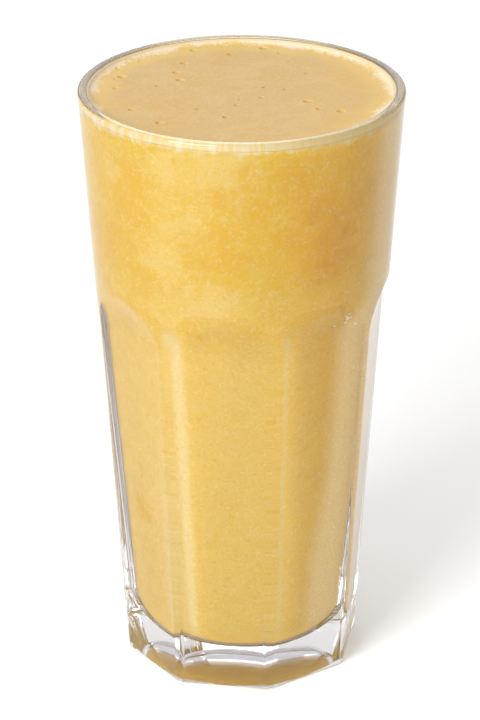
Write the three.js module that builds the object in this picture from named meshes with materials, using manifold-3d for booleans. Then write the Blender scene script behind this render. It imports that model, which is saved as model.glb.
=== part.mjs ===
// A mango smoothie in the tall clear tumbler it is served in.
// Millimetres, +Z up, origin at the centre of the foot; one flat panel of the tumbler faces -Y.
import * as THREE from 'three';
import { mergeVertices } from 'three/addons/utils/BufferGeometryUtils.js';
import Module from 'manifold-3d';

// Tumbler, outside: a plain cone, on which flat panels are pressed below a round collar.
const HEIGHT = 180;
const RIM_RADIUS = 47.5;
const CONE_SLOPE = 0.0652;
const PANEL_COUNT = 8;
const PANEL_DEPTH_SHARE = 0.87;
const SHOULDER_TOP = 124.6;
const SHOULDER_BOTTOM = 111.5;
const SHOULDER_EASE = 0.6;
const SHOULDER_MARGIN = 3;

// Tumbler, inside: a wide collar, a soft step and a narrower well with a round bottom corner.
const RIM_THICKNESS = 3;
const RIM_EDGE_RADIUS = 0.8;
const COLLAR_INNER_RADIUS = 40.2;
const COLLAR_INNER_BOTTOM = 132;
const WELL_TOP_RADIUS = 34.8;
const WELL_TOP = 110;
const WELL_FOOT_RADIUS = 26.5;
const WELL_CORNER_RADIUS = 10;
const FLOOR_HEIGHT = 9.5;

// Tumbler, underside: a shallow dome inside a flat standing ring.
const DOME_RADIUS = 31.5;
const DOME_HEIGHT = 3;

// Drink: stands clear of the wall, with its edge drawn up a little at the wall.
const DRINK_GAP = 0.3;
const DRINK_LEVEL = 178.4;
const EDGE_RISE = 0.8;
const EDGE_WIDTH = 2.4;

// How finely the curves are divided.
const AROUND = 64;
const STEPS_DOME = 8;
const STEPS_RIM = 4;
const STEPS_STEP = 12;
const STEPS_CORNER = 9;
const STEPS_SHOULDER = 12;
const STEPS_EDGE = 4;

const RIM_EDGE_HEIGHT = HEIGHT - RIM_EDGE_RADIUS;
const RIM_INNER_RADIUS = RIM_RADIUS - RIM_THICKNESS;
const WELL_FOOT = FLOOR_HEIGHT + WELL_CORNER_RADIUS;

const wasm = await Module();
wasm.setup();

function coneRadius(z) {
  return RIM_RADIUS - CONE_SLOPE * (HEIGHT - z);
}

// Distance of a panel from the axis at height z. At its top it starts in a soft edge, and it ends in a
// wide hollow curve at its bottom.
function panelDistance(z) {
  const below = THREE.MathUtils.clamp((SHOULDER_TOP - z) / (SHOULDER_TOP - SHOULDER_BOTTOM), 0, 1);
  const fade = THREE.MathUtils.smoothstep(below ** SHOULDER_EASE, 0, 1);
  const fullDepth = 1 - Math.cos(Math.PI / PANEL_COUNT);
  return coneRadius(z) * (1 - fullDepth * PANEL_DEPTH_SHARE * fade);
}

// Inner wall from the edge of the floor up to the start of the rim's rounding.
function innerWall() {
  const wall = [];
  for (let i = 0; i <= STEPS_CORNER; i += 1) {
    const angle = (i / STEPS_CORNER) * (Math.PI / 2);
    const radius = WELL_FOOT_RADIUS - WELL_CORNER_RADIUS * (1 - Math.sin(angle));
    wall.push(new THREE.Vector2(radius, WELL_FOOT - WELL_CORNER_RADIUS * Math.cos(angle)));
  }
  const wellSlope = (WELL_TOP_RADIUS - WELL_FOOT_RADIUS) / (WELL_TOP - WELL_FOOT);
  const collarSlope = (RIM_INNER_RADIUS - COLLAR_INNER_RADIUS) / (RIM_EDGE_HEIGHT - COLLAR_INNER_BOTTOM);
  const pull = (COLLAR_INNER_BOTTOM - WELL_TOP) / 3;
  const step = new THREE.CubicBezierCurve(
    new THREE.Vector2(WELL_TOP_RADIUS, WELL_TOP),
    new THREE.Vector2(WELL_TOP_RADIUS + wellSlope * pull, WELL_TOP + pull),
    new THREE.Vector2(COLLAR_INNER_RADIUS - collarSlope * pull, COLLAR_INNER_BOTTOM - pull),
    new THREE.Vector2(COLLAR_INNER_RADIUS, COLLAR_INNER_BOTTOM),
  );
  wall.push(...step.getPoints(STEPS_STEP));
  wall.push(new THREE.Vector2(RIM_INNER_RADIUS, RIM_EDGE_HEIGHT));
  return wall;
}

// The rim from its outside to its inside: a flat crown between two rounded edges.
function rim() {
  const outer = [];
  const inner = [];
  for (let i = 0; i <= STEPS_RIM; i += 1) {
    const angle = (i / STEPS_RIM) * (Math.PI / 2);
    const inset = RIM_EDGE_RADIUS * (1 - Math.cos(angle));
    const z = RIM_EDGE_HEIGHT + RIM_EDGE_RADIUS * Math.sin(angle);
    outer.push(new THREE.Vector2(RIM_RADIUS - inset, z));
    inner.push(new THREE.Vector2(RIM_INNER_RADIUS + inset, z));
  }
  return [...outer, ...inner.reverse()];
}

// Underside, outside, rim and inside as one profile from axis to axis.
function glassProfile() {
  const profile = [];
  for (let i = 0; i <= STEPS_DOME; i += 1) {
    const share = i / STEPS_DOME;
    profile.push(new THREE.Vector2(DOME_RADIUS * share, DOME_HEIGHT * (1 - share * share)));
  }
  for (const z of [0, SHOULDER_BOTTOM, SHOULDER_TOP + SHOULDER_MARGIN]) {
    profile.push(new THREE.Vector2(coneRadius(z), z));
  }
  profile.push(...rim());
  profile.push(...innerWall().reverse().slice(1));
  profile.push(new THREE.Vector2(0, FLOOR_HEIGHT));
  return profile;
}

// The drink follows the inner wall at a small gap, up to its level.
function drinkProfile() {
  const profile = [new THREE.Vector2(0, FLOOR_HEIGHT + DRINK_GAP)];
  const wall = innerWall();
  wall.pop();
  for (const point of wall) {
    profile.push(new THREE.Vector2(point.x - DRINK_GAP, point.y + DRINK_GAP));
  }
  const edgeRadius = RIM_INNER_RADIUS - DRINK_GAP;
  for (let i = 0; i <= STEPS_EDGE; i += 1) {
    const share = i / STEPS_EDGE;
    const rise = EDGE_RISE * (1 - share) * (1 - share);
    profile.push(new THREE.Vector2(edgeRadius - EDGE_WIDTH * share, DRINK_LEVEL + rise));
  }
  profile.push(new THREE.Vector2(0, DRINK_LEVEL));
  return profile;
}

// A profile of (radius, height) turned about the Z axis.
function turned(profile) {
  const geometry = new THREE.LatheGeometry(profile, AROUND);
  geometry.rotateX(Math.PI / 2);
  return geometry;
}

function toSolid(geometry) {
  geometry.deleteAttribute('normal');
  geometry.deleteAttribute('uv');
  const merged = mergeVertices(geometry, 1e-5);
  const triVerts = [];
  const index = merged.getIndex().array;
  for (let i = 0; i < index.length; i += 3) {
    const [a, b, c] = [index[i], index[i + 1], index[i + 2]];
    if (a !== b && b !== c && c !== a) {
      triVerts.push(a, b, c);
    }
  }
  return new wasm.Manifold(new wasm.Mesh({
    numProp: 3,
    vertProperties: new Float32Array(merged.getAttribute('position').array),
    triVerts: new Uint32Array(triVerts),
  }));
}

function toGeometry(solid) {
  const mesh = solid.getMesh();
  const geometry = new THREE.BufferGeometry();
  geometry.setAttribute('position', new THREE.BufferAttribute(new Float32Array(mesh.vertProperties), 3));
  geometry.setIndex(new THREE.BufferAttribute(new Uint32Array(mesh.triVerts), 1));
  geometry.computeVertexNormals();
  return geometry;
}

// What one panel takes away: everything outside its flat, with the shoulder's curve at its top.
function panelCutter(turn) {
  const clear = RIM_RADIUS + 5;
  const outline = new THREE.Shape();
  outline.moveTo(panelDistance(-1), -1);
  outline.lineTo(clear, -1);
  outline.lineTo(clear, SHOULDER_TOP);
  for (let i = 0; i <= STEPS_SHOULDER; i += 1) {
    const z = SHOULDER_TOP - (SHOULDER_TOP - SHOULDER_BOTTOM) * (i / STEPS_SHOULDER);
    outline.lineTo(panelDistance(z), z);
  }
  outline.closePath();
  const width = RIM_RADIUS;
  const geometry = new THREE.ExtrudeGeometry(outline, { depth: width, bevelEnabled: false });
  geometry.translate(0, 0, -width / 2);
  geometry.rotateX(Math.PI / 2);
  geometry.rotateZ(turn - Math.PI / 2);
  return toSolid(geometry);
}

function glassSolid() {
  let solid = toSolid(turned(glassProfile()));
  for (let i = 0; i < PANEL_COUNT; i += 1) {
    solid = solid.subtract(panelCutter((i / PANEL_COUNT) * 2 * Math.PI));
  }
  return solid;
}

function part(name, solid, look) {
  const mesh = new THREE.Mesh(toGeometry(solid), new THREE.MeshStandardMaterial(look));
  mesh.name = name;
  return mesh;
}

const drink = new THREE.Group();
drink.name = 'mango_smoothie';
drink.add(part('glass', glassSolid(), {
  color: 0xe8eef0,
  roughness: 0.03,
  metalness: 0,
  transparent: true,
  opacity: 0.35,
}));
drink.add(part('smoothie', toSolid(turned(drinkProfile())), {
  color: 0xecb850,
  roughness: 0.45,
  metalness: 0,
}));

export default drink;
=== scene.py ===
import math

import bmesh
import bpy
from mathutils import Matrix, Vector


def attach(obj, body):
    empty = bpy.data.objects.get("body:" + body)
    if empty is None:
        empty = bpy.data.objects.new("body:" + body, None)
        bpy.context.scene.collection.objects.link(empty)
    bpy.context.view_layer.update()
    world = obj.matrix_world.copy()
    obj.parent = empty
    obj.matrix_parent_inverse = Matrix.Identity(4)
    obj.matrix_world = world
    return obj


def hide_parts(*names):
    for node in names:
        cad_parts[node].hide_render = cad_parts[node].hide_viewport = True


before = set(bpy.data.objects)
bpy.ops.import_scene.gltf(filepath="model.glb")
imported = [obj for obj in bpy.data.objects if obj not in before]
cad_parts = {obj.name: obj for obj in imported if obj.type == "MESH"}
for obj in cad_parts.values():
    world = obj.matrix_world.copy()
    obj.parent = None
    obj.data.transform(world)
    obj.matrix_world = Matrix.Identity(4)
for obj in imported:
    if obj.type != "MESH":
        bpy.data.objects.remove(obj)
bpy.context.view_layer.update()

# Lengths are in millimetres, except where a comment says metres
MM = 0.001

# Tumbler, outside: a cone with flat panels pressed into it below a round collar
HEIGHT = 180.0
RIM_RADIUS = 47.48
CONE_SLOPE = 0.0652
PANELS = 8
PANEL_DEPTH_SHARE = 0.87
SHOULDER_TOP = 124.6
SHOULDER_BOTTOM = 111.5
SHOULDER_EASE = 0.6
SHOULDER_MARGIN = 2.5
SHOULDER_ROUNDS = 2
RIDGE_HALF_WIDTH_TOP = 1.2
RIDGE_HALF_WIDTH_FOOT = 1.8
RIDGE_FOOT = 0.5
RIDGE_ROUNDS = 6
FOOT_ROUNDING = ((0.55, 0.0), (0.27, 0.06), (0.08, 0.25), (0.0, 0.55))

# Tumbler, inside and underside
RIM_THICKNESS = 3.0
RIM_ROUND = 0.8
COLLAR_INNER_RADIUS = 40.2
COLLAR_INNER_BOTTOM = 132.0
WELL_TOP_RADIUS = 34.8
WELL_TOP = 110.0
WELL_FOOT_RADIUS = 26.5
WELL_CORNER = 10.0
FLOOR_HEIGHT = 9.5
DOME_RADIUS = 31.5
DOME_HEIGHT = 3.0
DOME_MARGIN = 0.3

RIM_ROUND_HEIGHT = HEIGHT - RIM_ROUND
RIM_INNER_RADIUS = RIM_RADIUS - RIM_THICKNESS
WELL_FOOT = FLOOR_HEIGHT + WELL_CORNER
WELL_SLOPE = (WELL_TOP_RADIUS - WELL_FOOT_RADIUS) / (WELL_TOP - WELL_FOOT)
COLLAR_SLOPE = (RIM_INNER_RADIUS - COLLAR_INNER_RADIUS) / (RIM_ROUND_HEIGHT - COLLAR_INNER_BOTTOM)

# Drink: it reaches a little into the wall, so that no air shows, and a film of froth clings above it
LEVEL = 178.4
INTO_WALL = 0.15
FROTH_INTO_WALL = 0.22
FROTH_DEPTH = 1.2
FILM_RISE = 1.35
FILM_CURVE = ((0.1, 0.95), (0.35, 0.72), (0.7, 0.48), (1.1, 0.29), (1.6, 0.16), (2.2, 0.07), (3.0, 0.02))
FILM_WIDTH = 4.0
DRINK_TOP = LEVEL - FROTH_DEPTH / 2

# How finely the tumbler is divided: rings at these heights, and steps of its curves and around it
PANEL_RINGS = (
    1.0, 1.8, 3.0, 5.0, 8.0, 12.0, 18.0, 26.0, 35.0, 45.0, 55.0, 65.0, 75.0, 84.0, 91.0, 97.0, 102.0, 105.5,
    107.8, 109.2, 110.2, 110.9,
)
COLLAR_RINGS = (125.1, 125.8, 126.9, 128.7, 131.0, 134.0, 138.0, 144.0, 151.0, 158.0, 165.0, 171.0, 175.5)
FLOOR_RINGS = (12.0, 7.0, 3.0, 0.0)
DOME_EDGE = 0.5
DOME_LAST_RINGS = (0.2, 0.0)
STEPS_DOME = 12
STEPS_SHOULDER = 28
STEPS_RIM = 8
STEPS_CORNER = 14
STEPS_WELL = 8
STEPS_INNER_STEP = 26
STEPS_COLLAR = 8
PANEL_TURN = 360.0 / PANELS
RIDGE_TURN = 4.5
STEPS_RIDGE = 9
STEPS_PANEL = 18

# How finely the drink is divided
DRINK_FLOOR_RINGS = (0.0, 5.0, 11.0)
DRINK_TOP_RINGS = (30.0, 15.0, 0.0)
FROTH_UNDER_RING = 20.0
DRINK_AROUND = 192
FROTH_AROUND = 240
STEPS_FILM = 8
STEPS_SURFACE = 40

# Tolerances
SAME_POINT = 0.002
SAME_HEIGHT = 0.004
SURFACE_TOLERANCE = 0.02
ON_OUTSIDE = 0.001

# Riper fruit seen through the wall: place from the foot of the axis and reach
RIPE_PATCHES = (
    (-25, -36, 164, 9), (-28, -32, 153, 8), (-31, -28, 143, 9), (-21, -35, 132, 7), (3, -42, 147, 9),
    (20, -39, 168, 8), (31, -28, 141, 10), (8, -44, 167, 6), (-24, -18, 52, 6), (34, -26, 156, 10),
    (18, -37, 149, 7), (27, -33, 149, 7), (27, -32, 144, 8), (12, -41, 158, 6), (2, -43, 160, 5),
    (-35, -21, 140, 9), (-36, -18, 130, 8), (-5, -41, 146, 6),
)

# The darkest fruit, likewise
DARK_PATCHES = ((28, -30, 138, 7), (30, -28, 147, 8), (26, -33, 158, 6))

# Paler, fibrous fruit, likewise
PALE_PATCHES = (
    (-11, -41, 152, 9), (-16, -38, 140, 9), (2, -44, 170, 12), (-14, -42, 168, 9), (-2, -38, 128, 9),
    (-31, -31, 166, 5),
)

# A patch fades between these two shares of its reach
PATCH_EDGE = 1.3
PATCH_CORE = 0.25

# Paler upright streaks behind the ridges: turn from the front and half width in degrees,
# height below which they are full, height at which they end, and strength
PALE_STREAKS = (
    (-22.5, 6.0, 114, 122, 0.85), (-29.0, 6.0, 45, 95, 0.45), (28.0, 2.5, 114, 122, 0.40),
)
STREAK_CORE = 0.01

# Air bubbles against the wall at the right shoulder, and dark cracks beside them: turn from the front
# in degrees, height and reach
WALL_BUBBLES = (
    (60.5, 119.5, 0.8), (59, 120.5, 0.4), (60.5, 121.0, 0.3), (60, 118.0, 0.5), (62.5, 119.5, 0.4),
    (68, 116.0, 0.6), (53, 118.0, 0.4), (79, 107.0, 0.7), (80, 99.5, 0.7), (72, 100.0, 0.4),
)
WALL_CRACKS = ((53.5, 124, 1.0), (55, 123, 1.0), (56, 121.5, 1.0), (58.5, 119.5, 0.8), (52.5, 118, 0.8))

# Burst bubbles on the surface: place from the axis and width
BUBBLES = (
    (-39.5, 14.5, 2.0), (-37.0, 7.5, 2.6), (-38.5, 5.5, 1.3), (-36.5, -2.5, 1.8), (-28.5, -19.5, 2.0),
    (-18.5, -28.5, 2.6), (-25.0, 1.5, 1.6), (-22.0, 14.0, 2.4), (-19.5, 7.5, 2.6), (-21.0, 22.5, 2.5),
    (-20.5, 34.5, 2.0), (-34.5, 22.5, 1.2), (-9.0, 32.5, 2.2), (0.0, 40.0, 2.8), (5.5, 36.0, 1.5),
    (-1.0, -21.0, 2.2), (0.5, -11.0, 1.5), (0.5, -6.0, 1.2), (6.5, -3.5, 1.8), (6.0, 5.5, 1.7),
    (12.0, 4.5, 1.4), (20.0, -4.5, 2.6), (24.0, -10.0, 1.8), (30.5, -11.0, 2.5), (16.0, 19.5, 1.3),
    (-10.0, -16.0, 1.2),
)

# A burst bubble's lip and pit, as shares of its width, and the finer surface around it
LIP_RISE = 0.08
LIP_REACH = 0.85
PIT_DEPTH = 0.36
PIT_REACH = 0.5
BUBBLE_MARGIN = 1.6
BUBBLE_CUTS = 3

# How strongly glass and drink bend light
GLASS_IOR = 1.52
DRINK_IOR = 1.355

# Colours of the tumbler: what its glass lets through, and the wetted wall as a mirror
GLASS_TINT = (0.40, 0.36, 0.44, 1.0)
GLASS_DENSITY = 2.5
WET_MIRROR = (0.76, 0.75, 0.77, 1.0)

# Colours of the drink behind the wall
FRUIT_BELOW = (0.815, 0.545, 0.105)
FRUIT_ABOVE = (0.765, 0.500, 0.020)
# Painted shade: the drink's colour where less light falls, at the right and the rear
FRUIT_IN_PAINTED_SHADE = (0.86, 0.455, 0.012)
FRUIT_CLOUDS = (0.755, 0.452, 0.003)
FRUIT_PALE = (0.81, 0.60, 0.175)
FRUIT_RIPE = (0.755, 0.44, 0.0)
# Ripe fruit in the painted shade
RIPE_IN_PAINTED_SHADE = (0.80, 0.395, 0.0)
FRUIT_DARK = (0.70, 0.32, 0.0)
# Painted light: the drink's bottom made brighter, as if more light came up through the base
FRUIT_BOTTOM_PAINTED_LIGHT = (1.0, 0.64, 0.13)
# Painted light above the arches of the panels, and painted shade just inside them
PAINTED_LIGHT_ABOVE_ARCH = (0.82, 0.61, 0.20)
PAINTED_SHADE_INSIDE_ARCH = (0.74, 0.43, 0.03)
RIDGE_STREAK = (0.74, 0.605, 0.28)
# Painted reflection: a pale veil of reflected light over the drink at the right
RIGHT_PAINTED_REFLECTION = (1.0, 0.74, 0.33)
# Painted glints of small bubbles within the painted reflection
PAINTED_BEAD_GLINT = (0.98, 0.90, 0.68)
WALL_CRACK = (0.62, 0.34, 0.03)
WALL_BUBBLE = (1.0, 0.95, 0.82)
SPECK = (0.76, 0.42, 0.005)
THREAD = (0.85, 0.74, 0.38)
FLECK = (0.88, 0.80, 0.50)
LIGHT_GRAIN = (0.81, 0.59, 0.17)
DARK_GRAIN = (0.765, 0.445, 0.010)

# Colours of the froth
SURFACE_SOFT = (0.541, 0.350, 0.117)
SURFACE_WARM = (0.549, 0.332, 0.085)
SURFACE_MOTTLE = (0.588, 0.392, 0.146)
SURFACE_LIGHT_GRAIN = (0.61, 0.45, 0.22)
SURFACE_DARK_GRAIN = (0.50, 0.32, 0.09)
SURFACE_RIGHT = (0.63, 0.39, 0.085)
SURFACE_RING = (0.68, 0.45, 0.11)
RIM_FOAM = (0.72, 0.61, 0.45)
BUBBLE_LIP = (0.76, 0.60, 0.36)
# Painted shade in the pits of the burst bubbles
BUBBLE_PIT_PAINTED_SHADE = (0.58, 0.36, 0.10)
FILM_YELLOW = (0.80, 0.60, 0.22)
FILM_CREAM = (0.82, 0.72, 0.47)
# Painted shade on the film's crest, against the light that falls on it
FILM_CREST_PAINTED_SHADE = (0.58, 0.455, 0.29)

# Where the drink changes behind the wall, with painted light towards the bottom and painted shade towards the
# right and rear: heights, and places across and in depth
UPPER_FRUIT = (102, 140)
PAINTED_LIGHT_BOTTOM = (18, 11)
PAINTED_SHADE_RIGHT = (8, 34)
PAINTED_SHADE_REAR = (0, 30)
FRUIT_WANDER = 24
FROTH_HEAD = (175.5, 177.2)
HEAD_WANDER = 8
CREAM_SIDE = (30, -5)

# The arches at the tops of the panels, with painted light above them and painted shade just inside: their
# edge drops towards the ridges, by turns in radians
ARCH_LOW = 124.4
ARCH_HIGH = 125.6
ARCH_DROP = 6
ARCH_BEND = (0.18, 0.39)
ARCH_LIGHT_HEIGHTS = (137, 129)
ARCH_LIGHT_LEFT = (-27, -17)
ARCH_LIGHT_MIDDLE = (-12, 8)
ARCH_SHADE_HEIGHTS = (114, 121)
ARCH_SHADE_LEFT = (-20, -12)

# The painted reflection, a pale haze at the right, by turns from the front in radians: it leans near the foot
# and at the shoulder
REFLECTION_START = (0.88, 1.14)
REFLECTION_END = (2.1, 1.7)
FOOT_LEAN_HEIGHTS = (75, 30)
FOOT_LEAN = 0.14
SHOULDER_LEAN_HEIGHTS = (114, 124)
SHOULDER_LEAN = -0.20

# Where the froth changes, with painted shade in the bubbles' pits and on the film's crest: places across and
# in depth, distances from the axis and heights above the level
WARM_SIDE = (10, 34)
WARM_WANDER = 40
BEHIND_FRONT = (-30, -6)
RING_EDGE = (34, 42)
RING_WANDER = 10
FOAM_EDGE = (42.5, 45.0)
FOAM_WANDER = 8
FOAM_WIDER_BEHIND = 1.2
LIP_HEIGHTS = (0.02, 0.08)
LIP_LIMIT = (41.5, 40.5)
PIT_SHADE_HEIGHTS = (-0.10, -0.40)
PIT_SHADE_LIMIT = (43.5, 43.0)
FILM_EDGE = (43.6, 44.1)
CREST_SHADE_HEIGHTS = (0.55, 0.95)

# Stage, in metres, and the light of the room
TABLE_SIZE = 8.0
TABLE_HEIGHT = -0.0003
TABLE_WHITE = (0.97, 0.97, 0.97, 1.0)
ROOM_WHITE = (1.0, 1.0, 1.0, 1.0)
ROOM_BRIGHTNESS = 0.86
GLASS_BOUNCES = 32
MIRROR_BOUNCES = 16

# Camera, fitted to the tumbler's outline: metres, degrees, pixels and, for the sensor, millimetres
CAMERA_TURN = 9.57
CAMERA_DISTANCE = 0.86034
CAMERA_HEIGHT = 0.48580
CAMERA_PITCH = 24.5147
CAMERA_YAW = 0.04
CAMERA_ROLL = -0.0916
FOCAL_PIXELS = 3152.09
SENSOR = 36.0
IMAGE_HEIGHT = 720


# Outlines


def cone_radius(z):
    return RIM_RADIUS - CONE_SLOPE * (HEIGHT - z)


def panel_distance(z):
    """Distance of a panel from the axis; its top runs out softly into the collar."""
    below = min(max((SHOULDER_TOP - z) / (SHOULDER_TOP - SHOULDER_BOTTOM), 0.0), 1.0)
    eased = below**SHOULDER_EASE
    fade = eased * eased * (3 - 2 * eased)
    return cone_radius(z) * (1 - (1 - math.cos(math.pi / PANELS)) * PANEL_DEPTH_SHARE * fade)


def steps_between(low, high, count):
    return [low + (high - low) * i / count for i in range(count + 1)]


def inner_wall():
    """The tumbler's inside from the floor's edge to the start of the rim, as (radius, height)."""
    wall = []
    for angle in steps_between(0, math.pi / 2, STEPS_CORNER):
        radius = WELL_FOOT_RADIUS - WELL_CORNER * (1 - math.sin(angle))
        wall.append((radius, WELL_FOOT - WELL_CORNER * math.cos(angle)))
    for z in steps_between(WELL_FOOT, WELL_TOP, STEPS_WELL)[1:-1]:
        wall.append((WELL_FOOT_RADIUS + WELL_SLOPE * (z - WELL_FOOT), z))
    rise = COLLAR_INNER_BOTTOM - WELL_TOP
    low, high = WELL_TOP_RADIUS, COLLAR_INNER_RADIUS
    pulls = (low, low + WELL_SLOPE * rise / 3, high - COLLAR_SLOPE * rise / 3, high)
    for t in steps_between(0, 1, STEPS_INNER_STEP):
        s = 1 - t
        radius = s**3 * pulls[0] + 3 * s * s * t * pulls[1] + 3 * s * t * t * pulls[2] + t**3 * pulls[3]
        wall.append((radius, WELL_TOP + rise * t))
    for z in steps_between(COLLAR_INNER_BOTTOM, RIM_ROUND_HEIGHT, STEPS_COLLAR)[1:]:
        wall.append((COLLAR_INNER_RADIUS + COLLAR_SLOPE * (z - COLLAR_INNER_BOTTOM), z))
    return wall


def wall_radius(z):
    """Radius of the tumbler's inside near the drink's level."""
    if z > RIM_ROUND_HEIGHT:
        return RIM_INNER_RADIUS + RIM_ROUND - math.sqrt(RIM_ROUND**2 - (z - RIM_ROUND_HEIGHT) ** 2)
    return RIM_INNER_RADIUS - COLLAR_SLOPE * (RIM_ROUND_HEIGHT - z)


def spots_on_wall(marks):
    """Places on the drink's side for marks of (turn in degrees, height, reach)."""
    wall = inner_wall()
    spots = []
    for turn_deg, z, reach in marks:
        turn = math.radians(turn_deg)
        (low_radius, low), (high_radius, high) = next(pair for pair in zip(wall, wall[1:]) if pair[1][1] > z)
        radius = low_radius + (high_radius - low_radius) * (z - low) / (high - low) + INTO_WALL
        spots.append((radius * math.sin(turn), -radius * math.cos(turn), z, reach))
    return spots


# Modelling steps


def start_point(name):
    """One point on the axis, in edit mode, from which an outline is drawn."""
    bpy.ops.object.select_all(action="DESELECT")
    bpy.ops.mesh.primitive_plane_add(size=MM, location=(0, 0, 0))
    piece = bpy.context.object
    piece.name = name
    piece.data.name = name
    bpy.ops.object.mode_set(mode="EDIT")
    bpy.context.tool_settings.mesh_select_mode = (True, False, False)
    bpy.ops.mesh.select_all(action="SELECT")
    bpy.ops.mesh.merge(type="CENTER")
    return piece


def draw_outline(outline, turn_deg):
    """Pulls the point along an outline of (radius, height) that stands at turn_deg from the front."""
    turn = math.radians(turn_deg)
    here = Vector((0, 0, 0))
    for i, (radius, height) in enumerate(outline):
        there = Vector((radius * math.sin(turn), -radius * math.cos(turn), height)) * MM
        if i == 0:
            bpy.ops.transform.translate(value=there - here)
        else:
            bpy.ops.mesh.extrude_region_move(TRANSFORM_OT_translate={"value": there - here})
        here = there
    bpy.ops.mesh.select_all(action="SELECT")


def sweep(steps, degrees, copies=False):
    """Turns what is selected about the axis, as a skin or as copies; a skin's end stays selected."""
    angle = math.radians(degrees)
    bpy.ops.mesh.spin(steps=steps, dupli=copies, angle=angle, center=(0, 0, 0), axis=(0, 0, -1))


def select_points(test):
    mesh = bmesh.from_edit_mesh(bpy.context.object.data)
    for vert in mesh.verts:
        vert.select = test(vert.co)
    mesh.select_flush_mode()
    bmesh.update_edit_mesh(bpy.context.object.data, loop_triangles=False, destructive=False)


def close_seams():
    bpy.ops.mesh.select_all(action="SELECT")
    bpy.ops.mesh.remove_doubles(threshold=SAME_POINT * MM)
    bpy.ops.mesh.normals_make_consistent(inside=False)


def finish_piece(piece, node, material):
    bpy.ops.object.mode_set(mode="OBJECT")
    bpy.ops.object.shade_smooth()
    piece.data.materials.clear()
    piece.data.materials.append(material)
    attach(piece, "root")
    if node:
        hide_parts(node)


# Steps of a look


def new_look(name):
    look = bpy.data.materials.new(name)
    look.use_nodes = True
    return look, look.node_tree, look.node_tree.nodes["Principled BSDF"]


def add_node(tree, kind, links=None, **settings):
    node = tree.nodes.new(kind)
    for key, value in settings.items():
        setattr(node, key, value)
    for socket, source in (links or {}).items():
        if isinstance(source, bpy.types.NodeSocket):
            tree.links.new(source, node.inputs[socket])
        else:
            node.inputs[socket].default_value = source
    return node


def place_in_piece(tree):
    """The place in the piece, and its three parts: across, depth and height, in metres."""
    place = add_node(tree, "ShaderNodeTexCoord").outputs["Object"]
    split = add_node(tree, "ShaderNodeSeparateXYZ", {0: place})
    return place, split.outputs["X"], split.outputs["Y"], split.outputs["Z"]


def reckon(tree, operation, *values):
    links = dict(enumerate(values))
    return add_node(tree, "ShaderNodeMath", links, operation=operation).outputs["Value"]


def times(tree, a, b):
    return reckon(tree, "MULTIPLY", a, b)


def plus(tree, a, b):
    return reckon(tree, "ADD", a, b)


def reckon_place(tree, operation, links, result="Vector"):
    return add_node(tree, "ShaderNodeVectorMath", links, operation=operation).outputs[result]


def stretch(tree, place, scale=(1, 1, 1), move=(0, 0, 0)):
    links = {"Vector": place, "Scale": scale, "Location": move}
    return add_node(tree, "ShaderNodeMapping", links).outputs["Vector"]


def cloud(tree, place, scale, detail=2.0, roughness=0.5, distortion=0.0, result="Fac"):
    links = {"Vector": place, "Scale": scale, "Detail": detail}
    links.update({"Roughness": roughness, "Distortion": distortion})
    return add_node(tree, "ShaderNodeTexNoise", links).outputs[result]


def share(tree, value, start, end, low=0.0, high=1.0):
    """Goes softly from low to high as value goes from start to end."""
    links = {"Value": value, "From Min": start, "From Max": end, "To Min": low, "To Max": high}
    return add_node(tree, "ShaderNodeMapRange", links, interpolation_type="SMOOTHSTEP").outputs["Result"]


def share_mm(tree, length, start, end, low=0.0, high=1.0):
    """The same for a length, with start and end in millimetres."""
    return share(tree, length, start * MM, end * MM, low, high)


def ragged_by(tree, length, clouds, reach):
    """A length pushed to and fro by clouds, over a reach in millimetres."""
    return plus(tree, length, times(tree, plus(tree, clouds, -0.5), reach * MM))


def blend(tree, amount, under, over):
    """Colour over laid on colour under by amount."""
    node = add_node(tree, "ShaderNodeMix", data_type="RGBA")
    for index, source in ((0, amount), (6, under), (7, over)):
        if isinstance(source, bpy.types.NodeSocket):
            tree.links.new(source, node.inputs[index])
        elif index == 0:
            node.inputs[index].default_value = source
        else:
            node.inputs[index].default_value = (*source, 1.0)
    return node.outputs[2]


def drift(tree, place, scale, reach):
    """The place pushed about softly, so that what is drawn with it gets a ragged edge."""
    push = cloud(tree, place, scale, detail=5.0, roughness=0.65, result="Color")
    push = reckon_place(tree, "SUBTRACT", {0: push, 1: (0.5, 0.5, 0.5)})
    push = reckon_place(tree, "SCALE", {0: push, "Scale": reach * MM})
    return reckon_place(tree, "ADD", {0: place, 1: push})


def patches(tree, place, spots):
    """How far a place lies inside any of the spots, from 0 outside to 1 in the middle."""
    inside = 0.0
    for x, y, z, reach in spots:
        off = reckon_place(tree, "DISTANCE", {0: place, 1: (x * MM, y * MM, z * MM)}, "Value")
        here = share_mm(tree, off, PATCH_EDGE * reach, PATCH_CORE * reach)
        inside = reckon(tree, "MAXIMUM", here, inside)
    return inside


def fibres(tree, place, scale, width, density):
    """Short curled threads: thin lines where a cloud crosses its middle, broken up by another cloud."""
    level = plus(tree, cloud(tree, place, scale, detail=1.0, distortion=1.2), -0.5)
    level = reckon(tree, "ABSOLUTE", level)
    breaks = cloud(tree, stretch(tree, place, move=(0.4, 0.2, 0.1)), 0.9 * scale, detail=1.0)
    return times(tree, share(tree, level, width, 0.3 * width), share(tree, breaks, *density))


# Clear glass


def clear_glass_look():
    look, tree, shader = new_look("clear_glass")
    shader.inputs["Base Color"].default_value = (1.0, 1.0, 1.0, 1.0)
    shader.inputs["Transmission Weight"].default_value = 1.0
    shader.inputs["Roughness"].default_value = 0.0
    shader.inputs["IOR"].default_value = GLASS_IOR
    tint = add_node(tree, "ShaderNodeVolumeAbsorption", {"Color": GLASS_TINT, "Density": GLASS_DENSITY})
    tree.links.new(tint.outputs["Volume"], tree.nodes["Material Output"].inputs["Volume"])
    return look


# Mango smoothie behind the wall


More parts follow.
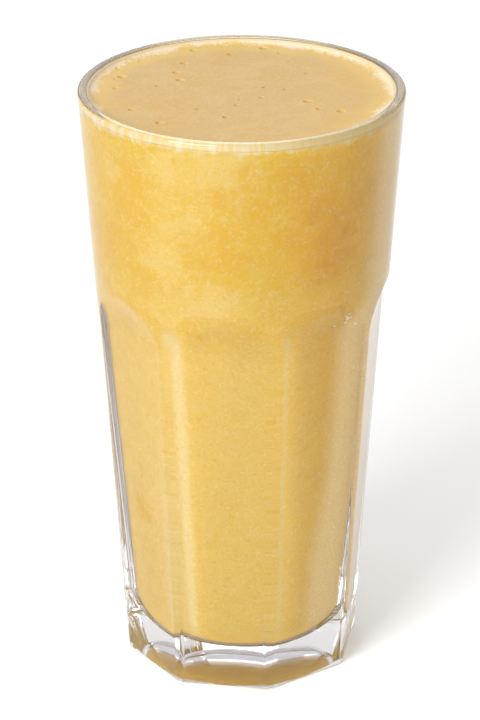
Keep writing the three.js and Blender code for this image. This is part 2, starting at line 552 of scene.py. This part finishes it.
def wet_against_glass(tree, shader):
    """Seen through the wall at a flat angle, the wetted wall is a mirror and hides the drink."""
    edge = add_node(tree, "ShaderNodeFresnel", {"IOR": DRINK_IOR / GLASS_IOR}).outputs["Fac"]
    mirror = add_node(tree, "ShaderNodeBsdfGlossy", {"Color": WET_MIRROR, "Roughness": 0.0}).outputs["BSDF"]
    both = add_node(tree, "ShaderNodeMixShader", {0: edge, 1: shader.outputs["BSDF"], 2: mirror})
    tree.links.new(both.outputs["Shader"], tree.nodes["Material Output"].inputs["Surface"])


def fruit(tree, place, across, depth, upper):
    """The drink's colour with its clouds and patches and with painted shade at the right and rear, and how
    ripe it is.
    """
    right = share_mm(tree, across, *PAINTED_SHADE_RIGHT)
    rear = share_mm(tree, depth, *PAINTED_SHADE_REAR, 0.0, 0.55)
    shade = reckon(tree, "MAXIMUM", right, rear)
    colour = blend(tree, upper, FRUIT_BELOW, FRUIT_ABOVE)
    # Painted shade: darker, more amber fruit towards the right and the rear
    colour = blend(tree, times(tree, shade, 0.8), colour, FRUIT_IN_PAINTED_SHADE)
    clouds = cloud(tree, stretch(tree, place, (1, 1, 1.6)), 150, detail=5.0, roughness=0.62, distortion=0.4)
    thick = plus(tree, times(tree, upper, 0.50), 0.20)
    colour = blend(tree, times(tree, share(tree, clouds, 0.44, 0.62), thick), colour, FRUIT_CLOUDS)
    wandering = drift(tree, place, scale=150, reach=FRUIT_WANDER)
    pale = patches(tree, wandering, PALE_PATCHES)
    colour = blend(tree, times(tree, pale, 0.65), colour, FRUIT_PALE)
    ripe = times(tree, patches(tree, wandering, RIPE_PATCHES), share(tree, clouds, 0.30, 0.60, 0.6, 1.0))
    # Ripe fruit takes the painted shade as well
    ripe_with_painted_shade = blend(tree, shade, FRUIT_RIPE, RIPE_IN_PAINTED_SHADE)
    colour = blend(tree, times(tree, ripe, 0.9), colour, ripe_with_painted_shade)
    dark = times(tree, patches(tree, wandering, DARK_PATCHES), share(tree, clouds, 0.30, 0.60, 0.3, 0.65))
    return blend(tree, dark, colour, FRUIT_DARK), ripe


def arch_light_and_shade(tree, colour, turn, across, height):
    """Painted light above the arches of the panels and painted shade just inside them."""
    off = reckon(tree, "WRAP", turn, math.pi / PANELS, -math.pi / PANELS)
    off = reckon(tree, "ABSOLUTE", off)
    arch = plus(tree, height, share(tree, off, *ARCH_BEND, 0.0, ARCH_DROP * MM))
    above = times(tree, share_mm(tree, arch, ARCH_LOW, ARCH_HIGH), share_mm(tree, height, *ARCH_LIGHT_HEIGHTS))
    above = times(tree, above, share_mm(tree, across, *ARCH_LIGHT_LEFT, 0.2, 1.0))
    above = times(tree, above, share_mm(tree, across, *ARCH_LIGHT_MIDDLE, 0.30, 0.15))
    # Painted light above the arches
    colour = blend(tree, above, colour, PAINTED_LIGHT_ABOVE_ARCH)
    inside = times(tree, share_mm(tree, arch, ARCH_HIGH, ARCH_LOW), share_mm(tree, height, *ARCH_SHADE_HEIGHTS))
    inside = times(tree, inside, share_mm(tree, across, *ARCH_SHADE_LEFT, 0.12, 0.50))
    # Painted shade inside the arches
    return blend(tree, inside, colour, PAINTED_SHADE_INSIDE_ARCH)


def ridge_streaks(tree, colour, turn, height):
    """Light that the ridges gather on the drink, as upright streaks."""
    for at, half_width, full, end, strength in PALE_STREAKS:
        off = reckon(tree, "ABSOLUTE", plus(tree, turn, -math.radians(at)))
        streak = share(tree, off, math.radians(half_width), STREAK_CORE)
        streak = times(tree, streak, share_mm(tree, height, end, full))
        colour = blend(tree, times(tree, streak, strength), colour, RIDGE_STREAK)
    return colour


def right_painted_reflection(tree, turn, height):
    """Where a painted reflection lies as a pale haze over the drink at the right: it leans with the panels
    and thins on the collar.
    """
    around = plus(tree, turn, share_mm(tree, height, *FOOT_LEAN_HEIGHTS, 0.0, FOOT_LEAN))
    around = plus(tree, around, share_mm(tree, height, *SHOULDER_LEAN_HEIGHTS, 0.0, SHOULDER_LEAN))
    painted_reflection = times(tree, share(tree, around, *REFLECTION_START), share(tree, around, *REFLECTION_END))
    return times(tree, painted_reflection, share_mm(tree, height, *SHOULDER_LEAN_HEIGHTS, 0.8, 0.6))


def fine_fruit(tree, colour, place, upper, ripe, painted_reflection):
    """Specks, threads, flecks and grain, a little stronger in the upper part."""
    fine = plus(tree, times(tree, upper, 0.1), 1.0)
    specks = cloud(tree, stretch(tree, place, move=(0.7, 0.3, 0.5)), 480)
    specks = times(tree, share(tree, specks, 0.62, 0.72), share(tree, painted_reflection, 0.0, 0.5, 0.5, 0.1))
    colour = blend(tree, times(tree, specks, fine), colour, SPECK)
    threads = fibres(tree, place, scale=560, width=0.06, density=(0.47, 0.60))
    colour = blend(tree, times(tree, threads, times(tree, fine, 0.22)), colour, THREAD)
    flecks = share(tree, cloud(tree, place, 1100, detail=1.5, distortion=0.8), 0.61, 0.73)
    colour = blend(tree, times(tree, flecks, times(tree, fine, 0.28)), colour, FLECK)
    grain = cloud(tree, place, 1400, detail=3.0, roughness=0.7)
    light_grain = times(tree, share(tree, grain, 0.50, 0.70), share(tree, ripe, 0.0, 1.0, 0.55, 0.25))
    colour = blend(tree, light_grain, colour, LIGHT_GRAIN)
    dark_grain = times(tree, share(tree, grain, 0.50, 0.30), times(tree, fine, 0.5))
    return blend(tree, dark_grain, colour, DARK_GRAIN)


def air_at_wall(tree, colour, place, painted_reflection):
    """White beads in the painted reflection, as painted glints of small bubbles, and the bubbles and cracks
    at the right shoulder.
    """
    bead_glints = share(tree, cloud(tree, stretch(tree, place, move=(0.9, 0.1, 0.4)), 1500, detail=1.0), 0.64, 0.71)
    # Painted glints of small bubbles in the painted reflection
    colour = blend(tree, times(tree, painted_reflection, bead_glints), colour, PAINTED_BEAD_GLINT)
    cracks = patches(tree, place, spots_on_wall(WALL_CRACKS))
    colour = blend(tree, times(tree, cracks, 0.6), colour, WALL_CRACK)
    bubbles = patches(tree, place, spots_on_wall(WALL_BUBBLES))
    return blend(tree, times(tree, bubbles, 0.95), colour, WALL_BUBBLE)


def froth_streaks(tree, place, across):
    """Froth against the wall, in upright streaks of cream and yellow."""
    streaks = cloud(tree, stretch(tree, place, (1, 1, 0.05)), 430, detail=3.0, roughness=0.6)
    cream = times(tree, share(tree, streaks, 0.40, 0.62), share_mm(tree, across, *CREAM_SIDE, 0.25, 1.0))
    return blend(tree, cream, FILM_YELLOW, FILM_CREAM)


def smoothie_look():
    look, tree, shader = new_look("mango_smoothie")
    place, across, depth, height = place_in_piece(tree)
    turn = reckon(tree, "ARCTAN2", across, times(tree, depth, -1.0))
    upper = share_mm(tree, height, *UPPER_FRUIT)
    colour, ripe = fruit(tree, place, across, depth, upper)
    colour = arch_light_and_shade(tree, colour, turn, across, height)
    colour = ridge_streaks(tree, colour, turn, height)
    painted_reflection = right_painted_reflection(tree, turn, height)
    # Painted reflection over the drink at the right
    colour = blend(tree, painted_reflection, colour, RIGHT_PAINTED_REFLECTION)
    colour = fine_fruit(tree, colour, place, upper, ripe, painted_reflection)
    colour = air_at_wall(tree, colour, place, painted_reflection)
    # Painted light: the drink is brighter towards its bottom
    colour = blend(tree, times(tree, share_mm(tree, height, *PAINTED_LIGHT_BOTTOM), 0.9), colour, FRUIT_BOTTOM_PAINTED_LIGHT)
    ragged = cloud(tree, stretch(tree, place, (1, 1, 0.6)), 230, detail=4.0, roughness=0.6)
    head = share_mm(tree, ragged_by(tree, height, ragged, HEAD_WANDER), *FROTH_HEAD)
    colour = blend(tree, times(tree, head, 0.85), colour, froth_streaks(tree, place, across))
    tree.links.new(colour, shader.inputs["Base Color"])
    shader.inputs["Roughness"].default_value = 0.5
    shader.inputs["Specular IOR Level"].default_value = 0.0
    wet_against_glass(tree, shader)
    return look


# Froth on the surface


def surface_fruit(tree, place, across, soft):
    """The surface's colour, mottled and grainy, and warmer at the right."""
    colour = blend(tree, share(tree, soft, 0.40, 0.68), SURFACE_SOFT, SURFACE_WARM)
    mottle = stretch(tree, place, move=(0.3, 0.6, 0.2))
    mottle = cloud(tree, mottle, 110, detail=5.0, roughness=0.65, distortion=0.6)
    colour = blend(tree, share(tree, mottle, 0.45, 0.62, 0.0, 0.6), colour, SURFACE_MOTTLE)
    grain = cloud(tree, place, 1100, detail=4.0, roughness=0.7)
    colour = blend(tree, times(tree, share(tree, grain, 0.50, 0.70), 0.6), colour, SURFACE_LIGHT_GRAIN)
    colour = blend(tree, times(tree, share(tree, grain, 0.50, 0.30), 0.5), colour, SURFACE_DARK_GRAIN)
    right = ragged_by(tree, across, soft, WARM_WANDER)
    return blend(tree, share_mm(tree, right, *WARM_SIDE, 0.0, 0.35), colour, SURFACE_RIGHT)


def foam_ring(tree, colour, place, depth, radius, soft):
    """A yellow ring, and a ragged rim of cream foam at the wall, both widest away from the front."""
    away = share_mm(tree, depth, *BEHIND_FRONT)
    reach = ragged_by(tree, radius, soft, RING_WANDER)
    ring = times(tree, share_mm(tree, reach, *RING_EDGE), plus(tree, times(tree, away, 0.6), 0.08))
    colour = blend(tree, ring, colour, SURFACE_RING)
    ragged = cloud(tree, place, 950, detail=4.0, roughness=0.7)
    reach = ragged_by(tree, reach, ragged, FOAM_WANDER)
    reach = plus(tree, reach, times(tree, away, FOAM_WIDER_BEHIND * MM))
    return blend(tree, times(tree, share_mm(tree, reach, *FOAM_EDGE), 0.9), colour, RIM_FOAM)


def above_level(rises):
    return [LEVEL + rise for rise in rises]


def bubble_marks(tree, colour, radius, height):
    """Paler lips of the burst bubbles, and painted shade in their pits."""
    lips = share_mm(tree, height, *above_level(LIP_HEIGHTS))
    lips = times(tree, lips, share_mm(tree, radius, *LIP_LIMIT))
    colour = blend(tree, times(tree, lips, 0.6), colour, BUBBLE_LIP)
    pit_shade = share_mm(tree, height, *above_level(PIT_SHADE_HEIGHTS))
    pit_shade = times(tree, pit_shade, share_mm(tree, radius, *PIT_SHADE_LIMIT))
    # Painted shade in the pits
    return blend(tree, times(tree, pit_shade, 0.55), colour, BUBBLE_PIT_PAINTED_SHADE)


def wall_film(tree, colour, place, across, radius, height):
    """The film that clings to the wall, with painted shade at its crest."""
    wall = share_mm(tree, radius, *FILM_EDGE)
    colour = blend(tree, times(tree, wall, 0.9), colour, froth_streaks(tree, place, across))
    crest_shade = share_mm(tree, height, *above_level(CREST_SHADE_HEIGHTS))
    # Painted shade at the film's crest
    return blend(tree, times(tree, crest_shade, 0.85), colour, FILM_CREST_PAINTED_SHADE)


def froth_look():
    look, tree, shader = new_look("smoothie_froth")
    place, across, depth, height = place_in_piece(tree)
    flat = add_node(tree, "ShaderNodeCombineXYZ", {0: across, 1: depth}).outputs["Vector"]
    radius = reckon_place(tree, "LENGTH", {0: flat}, "Value")
    soft = cloud(tree, place, 75, detail=3.0, roughness=0.55)
    colour = surface_fruit(tree, place, across, soft)
    colour = foam_ring(tree, colour, place, depth, radius, soft)
    colour = bubble_marks(tree, colour, radius, height)
    colour = wall_film(tree, colour, place, across, radius, height)
    tree.links.new(colour, shader.inputs["Base Color"])
    shader.inputs["Roughness"].default_value = 0.45
    shader.inputs["Specular IOR Level"].default_value = 0.25
    return look


# Tumbler


def tumbler_outline():
    """Underside, outside, rim and inside, as (radius, height, distance of the panel or None)."""
    outline = []
    dome_rings = steps_between(0, DOME_RADIUS - DOME_EDGE, STEPS_DOME)
    dome_rings += [DOME_RADIUS - inset for inset in DOME_LAST_RINGS]
    for radius in dome_rings:
        outline.append((radius, DOME_HEIGHT * (1 - (radius / DOME_RADIUS) ** 2), None))
    outline.append((DOME_RADIUS + DOME_MARGIN, 0.0, None))
    for inset, z in FOOT_ROUNDING:
        outline.append((cone_radius(z) - inset, z, panel_distance(z) - inset))
    for z in (*PANEL_RINGS, *steps_between(SHOULDER_BOTTOM, SHOULDER_TOP, STEPS_SHOULDER), *COLLAR_RINGS):
        outline.append((cone_radius(z), z, panel_distance(z) if z < SHOULDER_TOP else None))
    for angle in steps_between(0, math.pi / 2, STEPS_RIM):
        radius = RIM_RADIUS - RIM_ROUND * (1 - math.cos(angle))
        outline.append((radius, RIM_ROUND_HEIGHT + RIM_ROUND * math.sin(angle), None))
    for angle in steps_between(0, math.pi / 2, STEPS_RIM)[:-1]:
        radius = RIM_INNER_RADIUS + RIM_ROUND * (1 - math.sin(angle))
        outline.append((radius, RIM_ROUND_HEIGHT + RIM_ROUND * math.cos(angle), None))
    for radius, z in reversed(inner_wall()):
        outline.append((radius, z, None))
    for radius in FLOOR_RINGS:
        outline.append((radius, FLOOR_HEIGHT, None))
    return outline


def press_panel(outline):
    """Flattens the front of each ring of one eighth to the panel's distance."""
    for _, z, distance in outline:
        if distance is None:
            continue
        level, front = z * MM, -distance * MM
        select_points(lambda co: abs(co.z - level) < SAME_HEIGHT * MM and co.y < front)
        bpy.ops.transform.resize(value=(1, 0, 1), center_override=(0, front, level))


def on_outside(co):
    return math.hypot(co.x, co.y) > (panel_distance(co.z / MM) - ON_OUTSIDE) * MM


def on_ridge(co):
    turn = math.degrees(math.atan2(co.x, -co.y))
    off = math.radians(abs((turn % PANEL_TURN) - PANEL_TURN / 2)) * math.hypot(co.x, co.y)
    rise = co.z / (SHOULDER_TOP * MM)
    half = (RIDGE_HALF_WIDTH_FOOT + (RIDGE_HALF_WIDTH_TOP - RIDGE_HALF_WIDTH_FOOT) * rise) * MM
    return on_outside(co) and off < half and RIDGE_FOOT * MM < co.z < SHOULDER_TOP * MM


def at_shoulder(co):
    low, high = (SHOULDER_BOTTOM - SHOULDER_MARGIN) * MM, (SHOULDER_TOP + SHOULDER_MARGIN) * MM
    return low < co.z < high and on_outside(co)


def make_tumbler():
    """One panel between two finer edges, copied around the axis, with its ridges and shoulder softened."""
    piece = start_point("tumbler")
    outline = tumbler_outline()
    draw_outline([(radius, z) for radius, z, _ in outline], -PANEL_TURN / 2)
    sweep(STEPS_RIDGE, RIDGE_TURN)
    sweep(STEPS_PANEL, PANEL_TURN - 2 * RIDGE_TURN)
    sweep(STEPS_RIDGE, RIDGE_TURN)
    press_panel(outline)
    bpy.ops.mesh.select_all(action="SELECT")
    sweep(PANELS - 1, PANEL_TURN * (PANELS - 1), copies=True)
    close_seams()
    select_points(on_ridge)
    bpy.ops.mesh.vertices_smooth(factor=0.5, repeat=RIDGE_ROUNDS, zaxis=False)
    select_points(at_shoulder)
    bpy.ops.mesh.vertices_smooth(factor=0.5, repeat=SHOULDER_ROUNDS)
    finish_piece(piece, "glass", clear_glass_look())


# Drink


def make_smoothie():
    piece = start_point("smoothie_body")
    outline = [(radius, FLOOR_HEIGHT - INTO_WALL) for radius in DRINK_FLOOR_RINGS]
    for radius, z in inner_wall():
        if z < DRINK_TOP:
            drop = INTO_WALL * max(0.0, 1 - (z - FLOOR_HEIGHT) / WELL_CORNER)
            outline.append((radius + INTO_WALL, z - drop))
    outline.append((wall_radius(DRINK_TOP) + INTO_WALL, DRINK_TOP))
    outline += [(radius, DRINK_TOP) for radius in DRINK_TOP_RINGS]
    draw_outline(outline, 0)
    sweep(DRINK_AROUND, 360)
    close_seams()
    finish_piece(piece, "smoothie", smoothie_look())


def near_bubble(co):
    """Whether a point lies on the surface in or beside a burst bubble."""
    if co.z <= (LEVEL - SURFACE_TOLERANCE) * MM:
        return False
    for x, y, width in BUBBLES:
        if math.hypot(co.x - x * MM, co.y - y * MM) < (width + BUBBLE_MARGIN) * MM:
            return True
    return False


def pull_surface(rise, reach, falloff):
    """Moves the selected point up or down, and what lies around it less."""
    bpy.ops.transform.translate(value=(0, 0, rise * MM), use_proportional_edit=True,
                                proportional_edit_falloff=falloff, proportional_size=reach * MM)


def dent_bubbles():
    """Presses each burst bubble into the surface, with a faint raised lip."""
    select_points(near_bubble)
    bpy.ops.mesh.subdivide(number_cuts=BUBBLE_CUTS, smoothness=0.0)
    for x, y, width in BUBBLES:
        spot = Vector((x, y, LEVEL)) * MM
        mesh = bmesh.from_edit_mesh(bpy.context.object.data)
        middle = min(mesh.verts, key=lambda vert: (vert.co - spot).length)
        for vert in mesh.verts:
            vert.select = False
        middle.select = True
        mesh.select_flush_mode()
        pull_surface(LIP_RISE * width, LIP_REACH * width, "SMOOTH")
        pull_surface(-PIT_DEPTH * width, PIT_REACH * width, "SPHERE")


def make_froth():
    piece = start_point("smoothie_froth")
    low = LEVEL - FROTH_DEPTH
    wall = wall_radius(LEVEL)
    outline = [(0.0, low), (FROTH_UNDER_RING, low)]
    for z in steps_between(low, LEVEL + FILM_RISE, STEPS_FILM):
        outline.append((wall_radius(z) + FROTH_INTO_WALL, z))
    for inward, rise in FILM_CURVE:
        outline.append((wall - inward, LEVEL + FILM_RISE * rise))
    for radius in steps_between(wall - FILM_WIDTH, 0.0, STEPS_SURFACE):
        outline.append((radius, LEVEL))
    draw_outline(outline, 0)
    sweep(FROTH_AROUND, 360)
    close_seams()
    dent_bubbles()
    finish_piece(piece, None, froth_look())


# Stage, light and camera


def stage_look():
    look, _, shader = new_look("pale_table")
    shader.inputs["Base Color"].default_value = TABLE_WHITE
    shader.inputs["Roughness"].default_value = 0.7
    shader.inputs["Specular IOR Level"].default_value = 0.1
    return look


def make_table():
    bpy.ops.object.select_all(action="DESELECT")
    bpy.ops.mesh.primitive_plane_add(size=TABLE_SIZE, location=(0, 0, TABLE_HEIGHT))
    table = bpy.context.object
    table.name = "table"
    table.data.materials.append(stage_look())


def soft_light(name, turn_deg, lift_deg, distance, size, power):
    """A flat lamp that faces the middle of the tumbler; distance and size in metres, power in watts."""
    turn, lift = math.radians(turn_deg), math.radians(lift_deg)
    way = Vector((math.sin(turn) * math.cos(lift), -math.cos(turn) * math.cos(lift), math.sin(lift)))
    bpy.ops.object.light_add(type="AREA", location=way * distance + Vector((0, 0, HEIGHT / 2 * MM)))
    light = bpy.context.object
    light.name = name
    light.rotation_euler = (-way).to_track_quat("-Z", "Y").to_euler()
    light.data.shape = "RECTANGLE"
    light.data.size, light.data.size_y = size
    light.data.energy = power


def set_light():
    world = bpy.data.worlds.new("white_room")
    bpy.context.scene.world = world
    world.use_nodes = True
    backdrop = world.node_tree.nodes["Background"]
    backdrop.inputs["Color"].default_value = ROOM_WHITE
    backdrop.inputs["Strength"].default_value = ROOM_BRIGHTNESS
    soft_light("window", turn_deg=-25.0, lift_deg=25.0, distance=0.9, size=(0.45, 0.6), power=8.8)
    soft_light("back_light", turn_deg=189.6, lift_deg=27.0, distance=1.1, size=(0.7, 0.35), power=0.8)


def set_camera():
    bpy.ops.object.camera_add()
    camera = bpy.context.object
    turn = math.radians(CAMERA_TURN)
    camera.location = (CAMERA_DISTANCE * math.sin(turn), -CAMERA_DISTANCE * math.cos(turn), CAMERA_HEIGHT)
    aim = Matrix.Rotation(math.radians(CAMERA_TURN + CAMERA_YAW), 3, "Z")
    aim = aim @ Matrix.Rotation(math.radians(90.0 - CAMERA_PITCH), 3, "X")
    aim = aim @ Matrix.Rotation(math.radians(CAMERA_ROLL), 3, "Z")
    camera.rotation_euler = aim.to_euler()
    camera.data.sensor_width = SENSOR
    camera.data.lens = FOCAL_PIXELS * SENSOR / IMAGE_HEIGHT
    bpy.context.scene.camera = camera


make_tumbler()
make_smoothie()
make_froth()
make_table()
set_light()
set_camera()

scene = bpy.context.scene
scene.view_settings.view_transform = "Standard"
scene.cycles.max_bounces = GLASS_BOUNCES
scene.cycles.transmission_bounces = GLASS_BOUNCES
scene.cycles.glossy_bounces = MIRROR_BOUNCES
